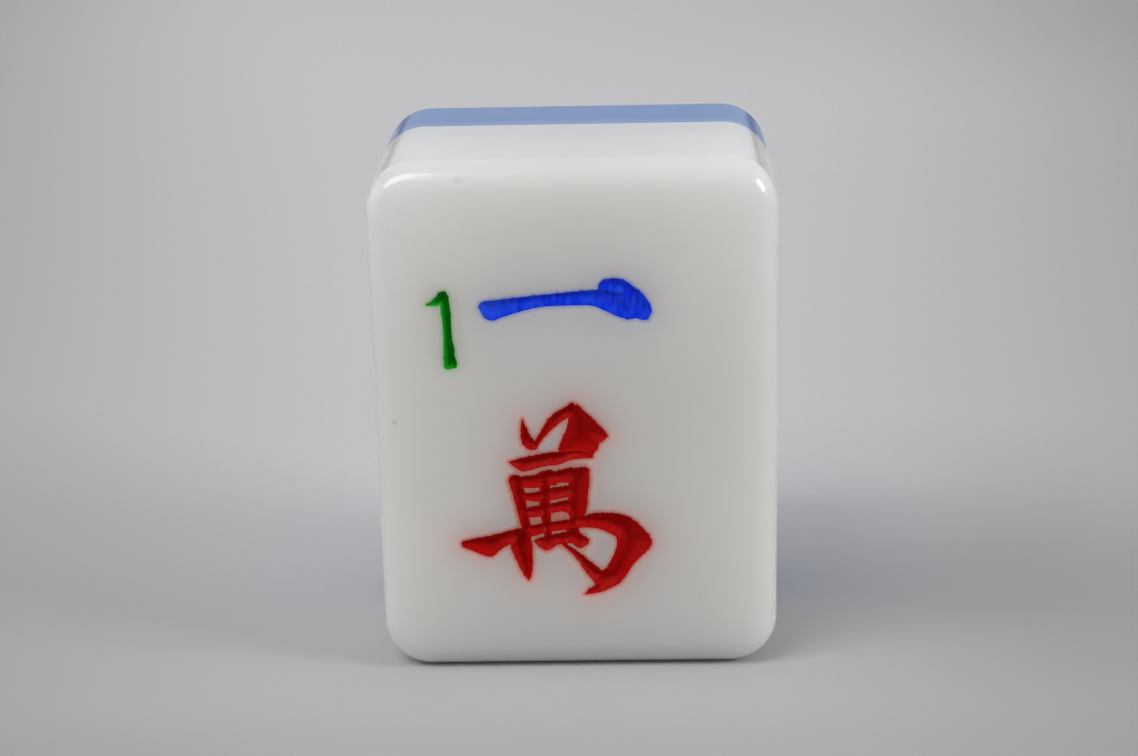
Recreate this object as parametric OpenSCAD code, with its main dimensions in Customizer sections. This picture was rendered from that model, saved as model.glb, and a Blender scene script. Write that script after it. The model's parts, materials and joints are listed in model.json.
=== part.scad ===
// A mahjong tile stood on its short end: a white front block and a blue
// back layer, bonded face to face, with a painted engraving in the front.
// The tile stands on the origin, upright along Z, with its front towards -Y.

/* [Tile] */
// Width of the tile, side to side
tile_w = 30; // [27:0.5:36]
// Height of the tile, standing on its short end
tile_h = 39.5; // [37:0.5:46]
// Thickness of the tile, front to back
tile_t = 22; // [16:0.5:28]
// Thickness of the blue back layer
back_t = 8.5; // [4:0.5:11]
// Radius of the four corners, seen from the front
corner_r = 3.6; // [2.6:0.1:5]
// Rounding of the edges round the front
front_edge_r = 2; // [0.5:0.1:2.5]
// Rounding of the edges round the back
back_edge_r = 2; // [0.5:0.1:2.5]

/* [Engraving] */
// Depth of the engraved cuts
cut_depth = 0.8; // [0.3:0.05:1.5]
// How far the paint in the cuts lies below the front
paint_low = 0.15; // [0.05:0.01:0.25]
// Size of the marks, against the sizes their outlines are drawn at
mark_size = 1; // [0.7:0.05:1.1]

/* [Places of the marks] */
// Middle of the small digit, from the tile's left side
digit_in = 5.35; // [4:0.05:6]
// Middle of the small digit, down from the top
digit_down = 12.25; // [8:0.05:14]
// Middle of the wide stroke, right of the tile's middle line
stroke_right = -0.6; // [-1:0.1:3]
// Middle of the wide stroke, down from the top
stroke_down = 10.05; // [8:0.05:11]
// Middle of the large character, right of the tile's middle line
character_right = -1.5; // [-3:0.1:3]
// Middle of the large character, up from the foot of the tile
character_up = 13.95; // [12:0.05:14.5]

/* [Hidden] */

$fn = 64;
// Straight pieces that each smooth span of an outline is drawn with
span_steps = 4;
// How far a cutting body stands out of the surface it cuts
cut_proud = 1;
front_t = tile_t - back_t;
digit_at = [digit_in - tile_w / 2, tile_h - digit_down];
stroke_at = [stroke_right, tile_h - stroke_down];
character_at = [character_right, character_up];

WHITE = [0.86, 0.85, 0.84];
BLUE_BACK = [0.13, 0.36, 0.66];
GREEN_PAINT = [0.02, 0.38, 0.05];
BLUE_PAINT = [0.03, 0.12, 0.8];
RED_PAINT = [0.6, 0.01, 0.01];

// ---- Outlines of the cuts ----
// Each cut is a closed outline, given as runs. A run is a smooth line through
// its points, and the runs of a cut follow each other clockwise round it and
// meet in corners. Points are [right, up] in mm from the middle of the mark.

DIGIT_FLAG = [
    [[-1.1, 1.9], [-0.75, 2.15], [-0.33, 2.52], [0, 2.85], [0.29, 2.97], [0.49, 2.82], [0.59, 2.4]],
    [[0.59, 2.4], [0.54, 1.8]],
    [[0.54, 1.8], [0, 1.92], [-0.33, 1.85], [-1.1, 1.9]]
];
DIGIT_STEM = [
    [[0.29, 2.6], [0.56, 2.5], [0.66, 1.9], [0.72, 0.9], [0.74, -0.5], [0.87, -1.3], [0.92, -2], [1.06, -2.6],
        [0.94, -2.9]],
    [[0.94, -2.9], [0.34, -3], [0.09, -2.85]],
    [[0.09, -2.85], [0.12, -1.8], [0.14, -0.8], [0.11, 0.3], [0.02, 1.4], [-0.03, 2]],
    [[-0.03, 2], [0.29, 2.6]]
];

STROKE_BAR = [
    [[-6.3, -0.45], [-6.1, -0.15], [-5.6, -0.03], [-3.9, 0.15], [-1.9, 0.35], [0.6, 0.58], [2.6, 0.75]],
    [[2.6, 0.75], [4.3, 0.5]],
    [[4.3, 0.5], [4.9, -1.2]],
    [[4.9, -1.2], [4.65, -1.6]],
    [[4.65, -1.6], [3.8, -1.32], [2.8, -0.82], [1.9, -0.48], [0.6, -0.45], [-1.2, -0.48], [-2.4, -0.65],
        [-3.9, -1.05], [-4.9, -1.4], [-5.35, -1.52], [-5.8, -1.35], [-6.05, -0.95], [-6.3, -0.45]]
];
STROKE_HEAD = [
    [[2.45, 0.55], [2.5, 1.1], [2.85, 1.42], [3.7, 1.55], [4.4, 1.38], [5, 0.9], [5.6, 0.45], [6.1, -0.25],
        [6.32, -0.95], [6.05, -1.58]],
    [[6.05, -1.58], [5.6, -1.62], [5.15, -1.5], [4.6, -1.58]],
    [[4.6, -1.58], [3.9, -0.6], [3.6, 0.1], [2.45, 0.55]]
];

TOP_HOOK = [
    [[-2.43, 6.38], [-2.28, 6], [-2.1, 5.5], [-1.85, 5], [-1.6, 4.64], [-1.45, 4.42]],
    [[-1.45, 4.42], [-1.4, 4.2]],
    [[-1.4, 4.2], [-1.5, 3.97], [-1.9, 3.94], [-2.25, 4.15], [-2.48, 4.5], [-2.58, 5.1], [-2.52, 5.8],
        [-2.43, 6.38]]
];
TOP_RISE = [
    [[-1.8, 4.28], [-1.56, 4.6], [-1.2, 5.15], [-0.8, 5.85], [-0.45, 6.35], [0.05, 6.87], [0.6, 7.15],
        [1.25, 7.6]],
    [[1.25, 7.6], [1.5, 6.6]],
    [[1.5, 6.6], [1, 6.45], [0.5, 6.15], [0, 5.75], [-0.5, 5.3], [-0.9, 4.85], [-1.25, 4.35], [-1.47, 4]],
    [[-1.47, 4], [-1.75, 4.08]],
    [[-1.75, 4.08], [-1.8, 4.28]]
];
TOP_ROOF = [
    [[1.25, 7.6], [1.48, 7.42], [1.65, 7.45]],
    [[1.65, 7.45], [2.54, 6.54], [3.24, 5.79], [3.58, 5.42], [3.9, 4.95]],
    [[3.9, 4.95], [3.5, 4.55], [3.15, 4.3], [3.1, 3.95], [2.8, 3.6], [2.7, 3.3]],
    [[2.7, 3.3], [0.2, 3.4]],
    [[0.2, 3.4], [0.25, 4.15], [0.55, 4.9], [0.85, 5.65], [1, 6.45]],
    [[1, 6.45], [1.25, 7.6]]
];
TOP_COVER = [
    [[-3.55, 3], [-2.5, 3.3], [-1.5, 3.5], [-0.7, 3.67], [0.23, 3.74], [1.5, 3.9]],
    [[1.5, 3.9], [2.75, 3.5]],
    [[2.75, 3.5], [2.7, 3.22]],
    [[2.7, 3.22], [2, 3.2], [1.1, 3.1], [0.55, 2.87], [0, 2.7], [-0.5, 2.68], [-1.1, 2.57], [-1.7, 2.38],
        [-2.5, 2.2]],
    [[-2.5, 2.2], [-2.8, 2.36], [-3.1, 2.6], [-3.55, 3]]
];

LEFT_POST = [
    [[-3.6, 1.5], [-3.45, 1.85], [-3.1, 1.95], [-2.7, 1.88]],
    [[-2.7, 1.88], [-2.5, 1], [-2.35, 0], [-2.22, -1], [-2.1, -1.8], [-2, -2.4]],
    [[-2, -2.4], [-2.7, -2.5]],
    [[-2.7, -2.5], [-2.85, -1.7], [-3.1, -0.5], [-3.35, 0.6], [-3.6, 1.5]]
];
MIDDLE_POST = [
    [[-1.28, 1.4], [-0.5, 1.4]],
    [[-0.5, 1.4], [-0.52, 0], [-0.5, -1.1], [-0.48, -2.2], [-0.45, -3.4]],
    [[-0.45, -3.4], [-1, -3.4]],
    [[-1, -3.4], [-1.08, -2.2], [-1.25, -1.4], [-1.35, -0.35], [-1.3, 0.5], [-1.28, 1.4]]
];
RIGHT_POST = [
    [[1, 2.5], [1.4, 2.44], [1.8, 2.5], [2.2, 2.48], [2.45, 2.33]],
    [[2.45, 2.33], [2.43, 1.7], [2.37, 0.9], [2.27, 0.1], [2.2, -0.7], [2.04, -1.3], [1.6, -2]],
    [[1.6, -2], [0.85, -2]],
    [[0.85, -2], [0.9, -1.3], [0.9, -0.4], [0.87, 0.4], [0.87, 1.5], [1, 2.5]]
];
TOP_RAIL = [
    [[-3.3, 1.8], [-2.6, 1.83], [-1.7, 1.92], [-1.2, 2.15], [-0.5, 2.35], [-0.2, 2.22], [0.2, 2.28],
        [0.9, 2.47], [1.5, 2.4]],
    [[1.5, 2.4], [1.6, 1.3]],
    [[1.6, 1.3], [0.05, 1.3]],
    [[0.05, 1.3], [-0.05, 1.12], [-0.5, 1.1], [-1.3, 0.93], [-2.2, 0.92], [-3, 1]],
    [[-3, 1], [-3.3, 1.8]]
];
MIDDLE_RAIL = [
    [[-2.7, 0.4], [-1.3, 0.65], [-0.5, 0.85], [0.9, 1.05], [1.6, 1.1]],
    [[1.6, 1.1], [1.6, 0.2]],
    [[1.6, 0.2], [0.85, 0.15], [-0.5, -0.1], [-1.5, -0.2], [-2.6, 0]],
    [[-2.6, 0], [-2.7, 0.4]]
];
LOW_RAIL = [
    [[-2.5, -0.75], [-1.4, -0.5], [-0.5, -0.35], [0.9, -0.05], [1.6, 0]],
    [[1.6, 0], [1.5, -1.5]],
    [[1.5, -1.5], [0.88, -1.45]],
    [[0.88, -1.45], [0.75, -1.12], [0.35, -1], [-0.45, -1.12], [-1.3, -1.4], [-2.4, -1.45]],
    [[-2.4, -1.45], [-2.5, -0.75]]
];
SWEEP = [
    [[-7.3, -3.45], [-7, -3.28], [-6.3, -3.12], [-5.5, -2.97], [-4.5, -2.76], [-3.5, -2.47], [-2, -2.13],
        [-1.2, -1.93], [-0.5, -1.83], [0.5, -1.7], [1.7, -1.48]],
    [[1.7, -1.48], [1.7, -2.33]],
    [[1.7, -2.33], [1, -2.4], [0.45, -2.48], [-0.5, -2.6], [-1.1, -2.73], [-1.8, -2.95], [-2.5, -3.15],
        [-3.6, -3.6]],
    [[-3.6, -3.6], [-3.85, -3.7], [-4.1, -3.82], [-4.5, -4.15], [-4.9, -4.53], [-5.25, -4.58], [-5.8, -4.4],
        [-6.5, -4.07], [-7.1, -3.8], [-7.3, -3.45]]
];
HOOK = [
    [[1, -1.62], [1.8, -1.47], [2.4, -1.23], [3.4, -1.15], [4.3, -1.2], [5.03, -1.35], [5.66, -1.73], [6.17, -2.18],
        [6.64, -2.76], [6.95, -3.3], [7.05, -3.6]],
    [[7.05, -3.6], [6.9, -3.95], [6.5, -4.4], [6, -4.9], [5.5, -5.5], [5.1, -6.15], [4.6, -6.8], [4, -7.17],
        [3.3, -7.5], [2.6, -7.68], [1.9, -7.72]],
    [[1.9, -7.72], [2.25, -7.38], [2.7, -6.98]],
    [[2.7, -6.98], [3.1, -6.5], [3.5, -5.8], [3.8, -5.25], [4.1, -4.7], [4.3, -4.15], [4.42, -3.7],
        [4.43, -3.35], [4.3, -3.05]],
    [[4.3, -3.05], [3.8, -2.75], [3.2, -2.47], [2.6, -2.33], [2, -2.3], [1.4, -2.34], [1, -2.4]],
    [[1, -2.4], [1, -1.62]]
];
SLANT = [
    [[0.25, -3.65], [0.5, -3.5], [0.75, -3.73], [1.1, -3.97], [1.5, -4.3], [2, -4.73], [2.5, -5.18],
        [2.9, -5.55], [3.25, -5.8], [3.6, -5.6]],
    [[3.6, -5.6], [3.3, -7]],
    [[3.3, -7], [2.72, -6.98]],
    [[2.72, -6.98], [2.55, -6.6], [2.2, -6.15], [1.8, -5.55], [1.5, -5], [1, -4.4], [0.6, -3.98],
        [0.25, -3.65]]
];
DAGGER = [
    [[-3.6, -2.7], [-2.05, -2.7]],
    [[-2.05, -2.7], [-1.98, -4], [-1.95, -5], [-2.02, -5.8], [-2.15, -6.35], [-2.3, -6.55]],
    [[-2.3, -6.55], [-2.45, -6.38], [-2.7, -6], [-3, -5.3], [-3.3, -4.6], [-3.53, -3.9], [-3.6, -2.7]]
];
FOOT_BAR = [
    [[-1.82, -3.38], [-1.5, -3.15], [-1, -3], [-0.45, -2.87], [0.45, -2.68], [1, -2.5]],
    [[1, -2.5], [1.2, -3.5]],
    [[1.2, -3.5], [0.9, -3.57], [0.3, -3.63], [-0.1, -3.7], [-0.4, -3.9], [-0.7, -4.08], [-1, -4.1],
        [-1.3, -3.93], [-1.6, -3.65], [-1.82, -3.38]]
];
DOT = [
    [[0.6, -2.35], [1.55, -2.3]],
    [[1.55, -2.3], [1.65, -2.7], [1.9, -2.98], [2.2, -3.18], [2.33, -3.4]],
    [[2.33, -3.4], [2.2, -3.65], [1.85, -3.9], [1.6, -3.97], [1.35, -3.82], [1, -3.55], [0.6, -3.2]],
    [[0.6, -3.2], [0.6, -2.35]]
];

DIGIT = [DIGIT_FLAG, DIGIT_STEM];
STROKE = [STROKE_BAR, STROKE_HEAD];
CHARACTER_TOP = [TOP_HOOK, TOP_RISE, TOP_ROOF, TOP_COVER];
CHARACTER_BASE = [LEFT_POST, MIDDLE_POST, RIGHT_POST, TOP_RAIL, MIDDLE_RAIL, LOW_RAIL, SWEEP, HOOK, SLANT,
    DAGGER, FOOT_BAR, DOT];

// Point at share u of the way from b to c, on the smooth line through a, b, c and d
function span_point(a, b, c, d, u) =
    b + (c - a) * u / 2 + (a * 2 - b * 5 + c * 4 - d) * pow(u, 2) / 2
    + (b * 3 - a - c * 3 + d) * pow(u, 3) / 2;

// Points along a run, up to but not including its last one
function run_points(run) =
    let (last = len(run) - 1)
    last == 1 ? [run[0]] : [
        for (i = [0:last - 1])
        let (
            before = i == 0 ? run[0] * 2 - run[1] : run[i - 1],
            after = i == last - 1 ? run[last] * 2 - run[last - 1] : run[i + 2]
        )
        for (step = [0:span_steps - 1])
        span_point(before, run[i], run[i + 1], after, step / span_steps)
    ];

// Closed outline of a cut at its size on the tile
function cut_outline(cut) = [for (run = cut) for (point = run_points(run)) point * mark_size];

// All the cuts of a mark, joined where they cross
module mark_outline(cuts) {
    for (cut = cuts) {
        polygon(cut_outline(cut));
    }
}

// A mark as a flat body, from one depth below the front of the tile to another.
// The body is drawn lying down: X right, Y up the tile, Z out of the front.
module mark_body(cuts, at, deep, shallow) {
    translate([at.x, at.y, tile_t - deep])
        linear_extrude(height = deep - shallow)
            mark_outline(cuts);
}

// Stands a body that was drawn lying on its back up on its short end
module stand_up() {
    translate([0, tile_t / 2, 0])
        rotate([90, 0, 0])
            children();
}

// Half section through the edge of a layer, from the corner's centre outwards,
// with its upper outer edge rounded
module edge_section(layer_t, edge_r) {
    square([corner_r - edge_r, layer_t]);
    square([corner_r, layer_t - edge_r]);
    intersection() {
        translate([corner_r - edge_r, layer_t - edge_r])
            circle(r = edge_r);
        square([corner_r, layer_t]);
    }
}

// A layer of the tile, lying down, with rounded corners and a rounded upper edge
module layer(layer_t, edge_r) {
    reach_x = tile_w / 2 - corner_r;
    reach_y = tile_h / 2 - corner_r;
    for (quarter = [0:3]) {
        reach = quarter % 2 == 0 ? [reach_x, reach_y] : [reach_y, reach_x];
        rotate([0, 0, 90 * quarter])
            translate([reach.x, reach.y, 0]) {
                rotate_extrude(angle = 90)
                    edge_section(layer_t, edge_r);
                rotate([90, 0, 0])
                    linear_extrude(height = 2 * reach.y)
                        edge_section(layer_t, edge_r);
            }
    }
    translate([-reach_x, -reach_y, 0])
        cube([2 * reach_x, 2 * reach_y, layer_t]);
}

module front_block() {
    color(WHITE)
        stand_up()
            difference() {
                translate([0, tile_h / 2, back_t])
                    layer(front_t, front_edge_r);
                mark_body(DIGIT, digit_at, cut_depth, -cut_proud);
                mark_body(STROKE, stroke_at, cut_depth, -cut_proud);
                mark_body(CHARACTER_TOP, character_at, cut_depth, -cut_proud);
                mark_body(CHARACTER_BASE, character_at, cut_depth, -cut_proud);
            }
}

module back_layer() {
    color(BLUE_BACK)
        stand_up()
            translate([0, tile_h / 2, back_t])
                mirror([0, 0, 1])
                    layer(back_t, back_edge_r);
}

// Paint that lines the cuts of one mark, up to just below the front
module paint(cuts, at, tint) {
    color(tint)
        stand_up()
            mark_body(cuts, at, cut_depth, paint_low);
}

module digit_paint() {
    paint(DIGIT, digit_at, GREEN_PAINT);
}

module stroke_paint() {
    paint(STROKE, stroke_at, BLUE_PAINT);
}

module character_top_paint() {
    paint(CHARACTER_TOP, character_at, RED_PAINT);
}

module character_base_paint() {
    paint(CHARACTER_BASE, character_at, RED_PAINT);
}

front_block();
back_layer();
digit_paint();
stroke_paint();
character_top_paint();
character_base_paint();
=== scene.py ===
"""A mahjong tile, the one of characters: the finish of its resin and its painted engraving.

The tile stands upright on its foot at the origin, with its engraved front towards -Y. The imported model
gives every size and place; this file carves the cuts, lays the paint in them and lights the tile.
"""

import json
import math
from collections import namedtuple
from functools import lru_cache

import bpy
import numpy as np
from bpy.props import FloatProperty, FloatVectorProperty, IntProperty, PointerProperty
from mathutils import Matrix, Vector, noise
from mathutils.geometry import delaunay_2d_cdt
from mathutils.kdtree import KDTree


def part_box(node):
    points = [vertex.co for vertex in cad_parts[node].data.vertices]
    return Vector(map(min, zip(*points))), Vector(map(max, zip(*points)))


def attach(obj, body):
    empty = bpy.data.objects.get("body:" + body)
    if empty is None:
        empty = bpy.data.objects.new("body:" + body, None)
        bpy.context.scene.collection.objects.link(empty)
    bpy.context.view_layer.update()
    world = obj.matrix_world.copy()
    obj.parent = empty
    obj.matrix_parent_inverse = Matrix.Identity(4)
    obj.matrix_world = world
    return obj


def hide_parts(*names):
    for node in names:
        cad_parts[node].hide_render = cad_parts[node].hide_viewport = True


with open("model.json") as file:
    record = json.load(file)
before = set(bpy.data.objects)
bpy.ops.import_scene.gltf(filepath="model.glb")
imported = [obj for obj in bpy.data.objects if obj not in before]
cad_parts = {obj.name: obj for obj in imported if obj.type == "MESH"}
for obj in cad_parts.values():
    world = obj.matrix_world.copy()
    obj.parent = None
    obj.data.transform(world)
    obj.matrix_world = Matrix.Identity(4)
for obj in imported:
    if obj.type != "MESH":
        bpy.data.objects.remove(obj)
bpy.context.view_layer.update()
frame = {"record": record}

bl_info = {
    "name": "Mahjong Tile",
    "version": (1, 0, 0),
    "blender": (4, 5, 0),
    "location": "View3D > Sidebar > Tile",
    "description": "Builds a mahjong tile with a carved and painted front, and a small studio round it",
    "category": "Add Mesh",
}

BODY = "root"
MM = 0.001

# The two layers of the tile, in mm
FRONT_LOW, FRONT_HIGH = (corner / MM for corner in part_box("front_block"))
_, BACK_HIGH = (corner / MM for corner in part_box("back_layer"))
HALF_WIDTH = (FRONT_HIGH.x - FRONT_LOW.x) / 2
HEIGHT = FRONT_HIGH.z - FRONT_LOW.z
FRONT_Y = FRONT_LOW.y
SEAM_Y = FRONT_HIGH.y
BACK_Y = BACK_HIGH.y

RECORD_COLOURS = {m["slot"]: m["base_color"] for m in frame["record"]["materials"]}

# ---- The engraving ----
# Each cut is one pass of the cutter: a closed outline, given as runs. A run is a smooth line through its
# points, and the runs follow each other clockwise and meet in corners. Points are [right, up] in mm from
# the middle of the mark.

DIGIT_FLAG = [
    [[-1.1, 1.9], [-0.75, 2.15], [-0.33, 2.52], [0, 2.85], [0.29, 2.97], [0.49, 2.82], [0.59, 2.4]],
    [[0.59, 2.4], [0.54, 1.8]],
    [[0.54, 1.8], [0, 1.92], [-0.33, 1.85], [-1.1, 1.9]],
]
DIGIT_STEM = [
    [[0.29, 2.6], [0.56, 2.5], [0.66, 1.9], [0.72, 0.9], [0.74, -0.5], [0.87, -1.3], [0.92, -2], [1.06, -2.6],
     [0.94, -2.9]],
    [[0.94, -2.9], [0.34, -3], [0.09, -2.85]],
    [[0.09, -2.85], [0.12, -1.8], [0.14, -0.8], [0.11, 0.3], [0.02, 1.4], [-0.03, 2]],
    [[-0.03, 2], [0.29, 2.6]],
]

STROKE_BAR = [
    [[-6.3, -0.45], [-6.1, -0.15], [-5.6, -0.03], [-3.9, 0.15], [-1.9, 0.35], [0.6, 0.58], [2.6, 0.75]],
    [[2.6, 0.75], [4.3, 0.5]],
    [[4.3, 0.5], [4.9, -1.2]],
    [[4.9, -1.2], [4.65, -1.6]],
    [[4.65, -1.6], [3.8, -1.32], [2.8, -0.82], [1.9, -0.48], [0.6, -0.45], [-1.2, -0.48], [-2.4, -0.65],
     [-3.9, -1.05], [-4.9, -1.4], [-5.35, -1.52], [-5.8, -1.35], [-6.05, -0.95], [-6.3, -0.45]],
]
STROKE_HEAD = [
    [[2.45, 0.55], [2.5, 1.1], [2.85, 1.42], [3.7, 1.55], [4.4, 1.38], [5, 0.9], [5.6, 0.45], [6.1, -0.25],
     [6.32, -0.95], [6.05, -1.58]],
    [[6.05, -1.58], [5.6, -1.62], [5.15, -1.5], [4.6, -1.58]],
    [[4.6, -1.58], [4.35, -0.7], [4.2, 0.1]],
    [[4.2, 0.1], [3.4, 0.5], [2.45, 0.55]],
]

TOP_HOOK = [
    [[-2.43, 6.38], [-2.28, 6], [-2.1, 5.5], [-1.85, 5], [-1.6, 4.64], [-1.45, 4.42]],
    [[-1.45, 4.42], [-1.4, 4.2]],
    [[-1.4, 4.2], [-1.5, 3.97], [-1.9, 3.94], [-2.25, 4.15], [-2.48, 4.5], [-2.58, 5.1], [-2.52, 5.8],
     [-2.43, 6.38]],
]
TOP_RISE = [
    [[-1.8, 4.28], [-1.56, 4.6], [-1.2, 5.15], [-0.8, 5.85], [-0.45, 6.35], [0.05, 6.87], [0.6, 7.15],
     [1.25, 7.6]],
    [[1.25, 7.6], [1.5, 6.6]],
    [[1.5, 6.6], [1, 6.45], [0.5, 6.15], [0, 5.75], [-0.5, 5.3], [-0.9, 4.85], [-1.25, 4.35], [-1.47, 4]],
    [[-1.47, 4], [-1.75, 4.08]],
    [[-1.75, 4.08], [-1.8, 4.28]],
]
TOP_ROOF = [
    [[1.25, 7.6], [1.48, 7.42], [1.65, 7.45]],
    [[1.65, 7.45], [2.54, 6.54], [3.24, 5.79], [3.58, 5.42], [3.9, 4.95]],
    [[3.9, 4.95], [3.5, 4.55], [3.15, 4.3], [3.1, 3.95], [2.8, 3.6], [2.7, 3.3]],
    [[2.7, 3.3], [0.2, 3.4]],
    [[0.2, 3.4], [0.25, 4.15], [0.55, 4.9], [0.85, 5.65], [1, 6.45]],
    [[1, 6.45], [1.25, 7.6]],
]
TOP_COVER = [
    [[-3.55, 3], [-2.5, 3.3], [-1.5, 3.5], [-0.7, 3.67], [0.23, 3.74], [1.5, 3.9]],
    [[1.5, 3.9], [2.75, 3.5]],
    [[2.75, 3.5], [2.7, 3.22]],
    [[2.7, 3.22], [2, 3.2], [1.1, 3.1], [0.55, 2.87], [0, 2.7], [-0.5, 2.68], [-1.1, 2.57], [-1.7, 2.38],
     [-2.5, 2.2]],
    [[-2.5, 2.2], [-2.8, 2.36], [-3.1, 2.6], [-3.55, 3]],
]

LEFT_POST = [
    [[-3.6, 1.5], [-3.45, 1.85], [-3.1, 1.95], [-2.7, 1.88]],
    [[-2.7, 1.88], [-2.5, 1], [-2.35, 0], [-2.22, -1], [-2.1, -1.8], [-2, -2.4]],
    [[-2, -2.4], [-2.7, -2.5]],
    [[-2.7, -2.5], [-2.85, -1.7], [-3.1, -0.5], [-3.35, 0.6], [-3.6, 1.5]],
]
MIDDLE_POST = [
    [[-1.28, 1.4], [-0.5, 1.4]],
    [[-0.5, 1.4], [-0.52, 0], [-0.5, -1.1], [-0.48, -2.2], [-0.45, -3.4]],
    [[-0.45, -3.4], [-1, -3.4]],
    [[-1, -3.4], [-1.08, -2.2], [-1.25, -1.4], [-1.35, -0.35], [-1.3, 0.5], [-1.28, 1.4]],
]
RIGHT_POST = [
    [[1, 2.5], [1.4, 2.44], [1.8, 2.5], [2.2, 2.48], [2.45, 2.33]],
    [[2.45, 2.33], [2.43, 1.7], [2.37, 0.9], [2.27, 0.1], [2.2, -0.7], [2.04, -1.3], [1.6, -2]],
    [[1.6, -2], [0.85, -2]],
    [[0.85, -2], [0.9, -1.3], [0.9, -0.4], [0.87, 0.4], [0.87, 1.5], [1, 2.5]],
]
TOP_RAIL = [
    [[-3.3, 1.8], [-2.6, 1.83], [-1.7, 1.92], [-1.2, 2.15], [-0.5, 2.35], [-0.2, 2.22], [0.2, 2.28],
     [0.9, 2.47], [1.5, 2.4]],
    [[1.5, 2.4], [1.6, 1.3]],
    [[1.6, 1.3], [0.05, 1.3]],
    [[0.05, 1.3], [-0.05, 1.12], [-0.5, 1.1], [-1.3, 0.93], [-2.2, 0.92], [-3, 1]],
    [[-3, 1], [-3.3, 1.8]],
]
MIDDLE_RAIL = [
    [[-2.7, 0.4], [-1.3, 0.65], [-0.5, 0.85], [0.9, 1.05], [1.6, 1.1]],
    [[1.6, 1.1], [1.6, 0.2]],
    [[1.6, 0.2], [0.85, 0.15], [-0.5, -0.1], [-1.5, -0.2], [-2.6, 0]],
    [[-2.6, 0], [-2.7, 0.4]],
]
LOW_RAIL = [
    [[-2.5, -0.75], [-1.4, -0.5], [-0.5, -0.35], [0.9, -0.05], [1.6, 0]],
    [[1.6, 0], [1.5, -1.5]],
    [[1.5, -1.5], [0.88, -1.45]],
    [[0.88, -1.45], [0.75, -1.12], [0.35, -1], [-0.45, -1.12], [-1.3, -1.4], [-2.4, -1.45]],
    [[-2.4, -1.45], [-2.5, -0.75]],
]
SWEEP = [
    [[-7.3, -3.45], [-7, -3.28], [-6.3, -3.12], [-5.5, -2.97], [-4.5, -2.76], [-3.5, -2.47], [-2, -2.13],
     [-1.2, -1.93], [-0.5, -1.83], [0.5, -1.7], [1.7, -1.48]],
    [[1.7, -1.48], [1.7, -2.33]],
    [[1.7, -2.33], [1, -2.4], [0.45, -2.48], [-0.5, -2.6], [-1.1, -2.73], [-1.8, -2.95], [-2.5, -3.15],
     [-3.6, -3.6]],
    [[-3.6, -3.6], [-3.85, -3.7], [-4.1, -3.82], [-4.5, -4.15], [-4.9, -4.53], [-5.25, -4.58], [-5.8, -4.4],
     [-6.5, -4.07], [-7.1, -3.8], [-7.3, -3.45]],
]
HOOK = [
    [[1, -1.62], [1.8, -1.47], [2.4, -1.23], [3.4, -1.15], [4.3, -1.2], [5.03, -1.35], [5.66, -1.73],
     [6.17, -2.18], [6.64, -2.76], [6.95, -3.3], [7.05, -3.6]],
    [[7.05, -3.6], [6.9, -3.95], [6.5, -4.4], [6, -4.9], [5.5, -5.5], [5.1, -6.15], [4.6, -6.8], [4, -7.17],
     [3.3, -7.5], [2.6, -7.68], [1.9, -7.72]],
    [[1.9, -7.72], [2.25, -7.38], [2.7, -6.98]],
    [[2.7, -6.98], [3.1, -6.5], [3.5, -5.8], [3.8, -5.25], [4.1, -4.7], [4.3, -4.15], [4.42, -3.7],
     [4.43, -3.35], [4.3, -3.05]],
    [[4.3, -3.05], [3.8, -2.75], [3.2, -2.47], [2.6, -2.33], [2, -2.3], [1.4, -2.34], [1, -2.4]],
    [[1, -2.4], [1, -1.62]],
]
SLANT = [
    [[0.25, -3.65], [0.5, -3.5], [0.75, -3.73], [1.1, -3.97], [1.5, -4.3], [2, -4.73], [2.5, -5.18],
     [2.9, -5.55], [3.25, -5.8], [3.6, -5.6]],
    [[3.6, -5.6], [3.3, -7]],
    [[3.3, -7], [2.72, -6.98]],
    [[2.72, -6.98], [2.55, -6.6], [2.2, -6.15], [1.8, -5.55], [1.5, -5], [1, -4.4], [0.6, -3.98],
     [0.25, -3.65]],
]
DAGGER = [
    [[-3.6, -2.7], [-2.05, -2.7]],
    [[-2.05, -2.7], [-1.98, -4], [-1.95, -5], [-2.02, -5.8], [-2.15, -6.35], [-2.3, -6.55]],
    [[-2.3, -6.55], [-2.45, -6.38], [-2.7, -6], [-3, -5.3], [-3.3, -4.6], [-3.53, -3.9], [-3.6, -2.7]],
]
FOOT_BAR = [
    [[-1.82, -3.38], [-1.5, -3.15], [-1, -3], [-0.45, -2.87], [0.45, -2.68], [1, -2.5]],
    [[1, -2.5], [1.2, -3.5]],
    [[1.2, -3.5], [0.9, -3.57], [0.3, -3.63], [-0.1, -3.7], [-0.4, -3.9], [-0.7, -4.08], [-1, -4.1],
     [-1.3, -3.93], [-1.6, -3.65], [-1.82, -3.38]],
]
DOT = [
    [[0.6, -2.35], [1.55, -2.3]],
    [[1.55, -2.3], [1.65, -2.7], [1.9, -2.98], [2.2, -3.18], [2.33, -3.4]],
    [[2.33, -3.4], [2.2, -3.65], [1.85, -3.9], [1.6, -3.97], [1.35, -3.82], [1, -3.55], [0.6, -3.2]],
    [[0.6, -3.2], [0.6, -2.35]],
]

# How a cut is shaped: its outline; the slope of its walls; lean, which steepens the walls on the side it
# points to, [right, up], and flattens the others; how deep its floor lies, in mm; and whether it opens into
# the cuts that it crosses, or keeps a ridge between them
Cut = namedtuple("Cut", "outline slope lean deepest opens", defaults=(True,))

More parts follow.
